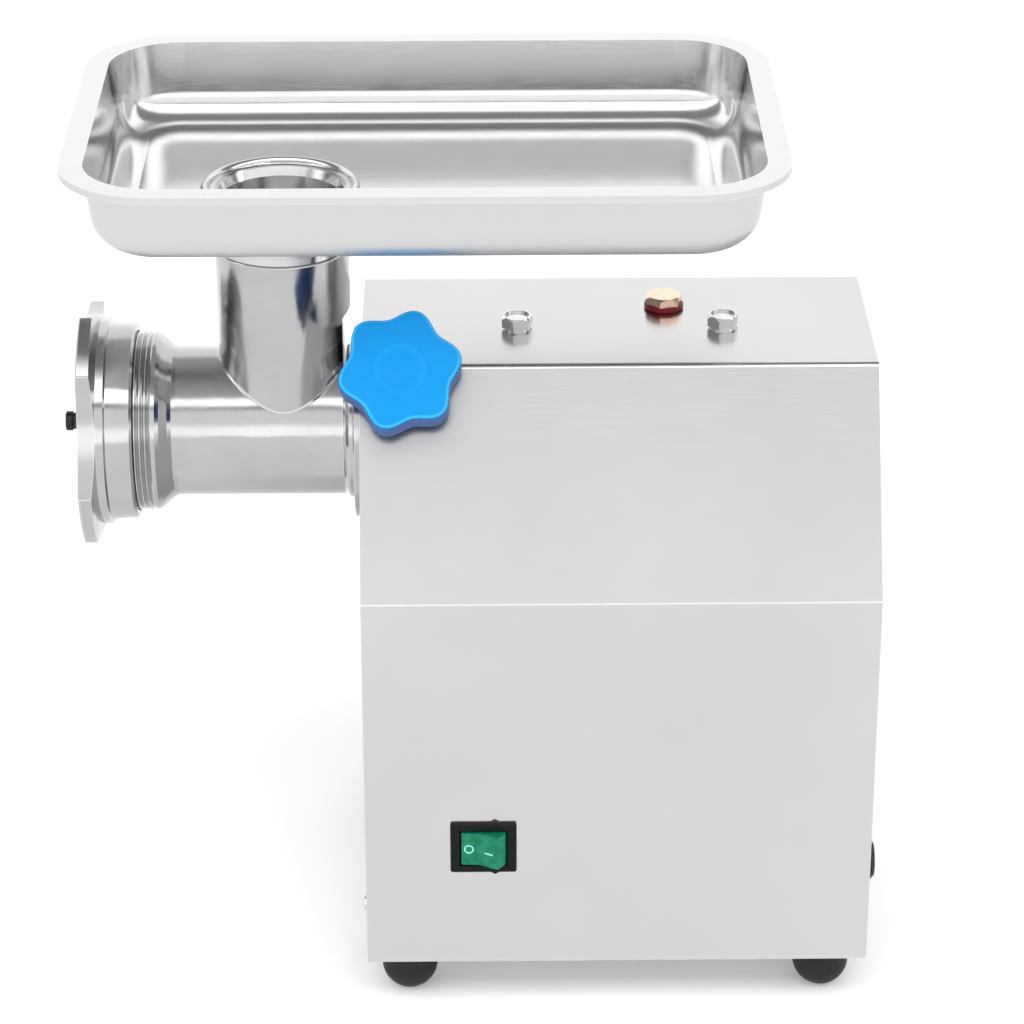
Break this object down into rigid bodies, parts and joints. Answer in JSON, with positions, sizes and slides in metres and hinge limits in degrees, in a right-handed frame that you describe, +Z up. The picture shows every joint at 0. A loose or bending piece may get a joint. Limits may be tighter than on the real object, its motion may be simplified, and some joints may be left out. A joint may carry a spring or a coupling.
{
  "type": "electric meat grinder",
  "caption": "Electric meat grinder: stainless body on rubber feet, side-mounted grinding head with feed neck, ring nut, blue lock knob, rocker switch and rectangular tray.",
  "frame": {"origin": "on the table, at the centre of the whole machine's box", "axes": "+Z up, outlet of the grinding head towards -X, switch and lock knob on the -Y side; the barrel's axis is in the plane y = 0"},
  "size_m": [0.3873, 0.2299, 0.418],
  "materials": {
    "panel_steel": "satin rolled stainless sheet",
    "cast_steel": "cast stainless, turned and polished",
    "tray_steel": "mirror-polished pressed stainless",
    "bolt_steel": "bright zinc",
    "plug_copper": "copper-coloured, polished",
    "seal_red": "smooth red rubber",
    "knob_blue": "semi-gloss moulded",
    "rubber_black": "matte moulded",
    "switch_black": "fine satin",
    "switch_green": "translucent green",
    "contact_brass": "plated",
    "stud_black": "black oxide",
    "housing_cast": "as-cast, machined faces",
    "machined_steel": "ground and turned",
    "gasket_fibre": "pressed fibre",
    "seal_rubber": "oil-resistant rubber",
    "lamination_steel": "stacked laminations",
    "winding_copper": "varnished",
    "fan_plastic": "moulded",
    "part_white": "moulded"
  },
  "bodies": {
    "machine": {"cover_shell": "panel_steel", "left_end_panel": "panel_steel", "right_end_panel": "panel_steel", "base_plate": "panel_steel", "rubber_feet": "rubber_black", "foot_studs": "bolt_steel", "foot_nuts": "bolt_steel", "panel_screws": "bolt_steel", "cover_bolts": "bolt_steel", "cover_bolt_washers": "bolt_steel", "oil_plug": "plug_copper", "oil_plug_seal": "seal_red", "gearbox_housing": "housing_cast", "gearbox_cover": "housing_cast", "gearbox_gasket": "gasket_fibre", "gearbox_cover_screws": "stud_black", "output_bearings": "machined_steel", "countershaft_bearings": "machined_steel", "motor_bearings": "machined_steel", "oil_seal": "seal_rubber", "hub_flange": "cast_steel", "hub_flange_screws": "bolt_steel", "motor_stator": "lamination_steel", "motor_windings": "winding_copper", "motor_front_bell": "housing_cast", "motor_rear_bell": "housing_cast", "motor_through_bolts": "bolt_steel", "motor_mount": "panel_steel", "start_capacitor": "part_white", "capacitor_clip": "panel_steel", "terminal_block": "part_white", "switch_body": "switch_black", "switch_terminals": "contact_brass", "cord_grommet": "rubber_black"},
    "rotor": {"rotor_core": "lamination_steel", "motor_shaft": "machined_steel", "cooling_fan": "fan_plastic"},
    "countershaft": {"countershaft": "machined_steel", "countershaft_gear": "machined_steel"},
    "output": {"output_shaft": "machined_steel", "output_gear": "machined_steel", "output_gear_clip": "machined_steel"},
    "head": {"head_casting": "cast_steel", "plate_key_pin": "machined_steel"},
    "auger": {"auger": "cast_steel", "knife": "machined_steel", "auger_stud": "stud_black", "thrust_washer": "fan_plastic"},
    "plate": {"hole_plate": "machined_steel"},
    "ring_nut": {"ring_nut": "cast_steel"},
    "tray": {"tray_pan": "tray_steel", "tray_spout": "tray_steel"},
    "knob": {"lock_knob": "knob_blue", "lock_screw": "bolt_steel"},
    "lock_pad": {"lock_screw_pad": "contact_brass"},
    "rocker": {"switch_rocker": "switch_green"}
  },
  "joints": [
    {"name": "motor_spin", "type": "hinge", "parent": "machine", "child": "rotor", "pos_m": [0, 0, 0.139], "axis": [1, 0, 0], "continuous": true},
    {"name": "countershaft_spin", "type": "hinge", "parent": "machine", "child": "countershaft", "pos_m": [0, 0, 0.202], "axis": [1, 0, 0], "continuous": true},
    {"name": "output_spin", "type": "hinge", "parent": "machine", "child": "output", "pos_m": [0, 0, 0.262], "axis": [1, 0, 0], "continuous": true},
    {"name": "head_slide", "type": "slide", "parent": "machine", "child": "head", "axis": [-1, 0, 0], "range_m": [0, 0.09]},
    {"name": "auger_spin", "type": "hinge", "parent": "head", "child": "auger", "pos_m": [-0.12, 0, 0.262], "axis": [1, 0, 0], "continuous": true},
    {"name": "plate_slide", "type": "slide", "parent": "head", "child": "plate", "axis": [-1, 0, 0], "range_m": [0, 0.01]},
    {"name": "ring_nut_turn", "type": "hinge", "parent": "plate", "child": "ring_nut", "pos_m": [-0.171, 0, 0.262], "axis": [-1, 0, 0], "range_deg": [0, 1440]},
    {"name": "tray_lift", "type": "slide", "parent": "head", "child": "tray", "axis": [0, 0, 1], "range_m": [0, 0.12]},
    {"name": "lock_pad_slide", "type": "slide", "parent": "machine", "child": "lock_pad", "axis": [0, -0.7986, 0.6018], "range_m": [0, 0.0045]},
    {"name": "knob_turn", "type": "hinge", "parent": "lock_pad", "child": "knob", "pos_m": [-0.0316, -0.08186, 0.32369], "axis": [0, -0.7986, 0.6018], "range_deg": [0, 1080]},
    {"name": "rocker_tilt", "type": "hinge", "parent": "machine", "child": "rocker", "pos_m": [0.005, -0.1084, 0.0891], "axis": [0, 0, 1], "range_deg": [0, 34]}
  ],
  "couplings": [
    {"joint": "countershaft_spin", "follows": "motor_spin", "ratio": -0.3125},
    {"joint": "output_spin", "follows": "motor_spin", "ratio": 0.15625},
    {"joint": "auger_spin", "follows": "motor_spin", "ratio": 0.15625},
    {"joint": "ring_nut_turn", "follows": "plate_slide", "rad_per_m": 2513.3},
    {"joint": "knob_turn", "follows": "lock_pad_slide", "rad_per_m": 4188.8}
  ]
}
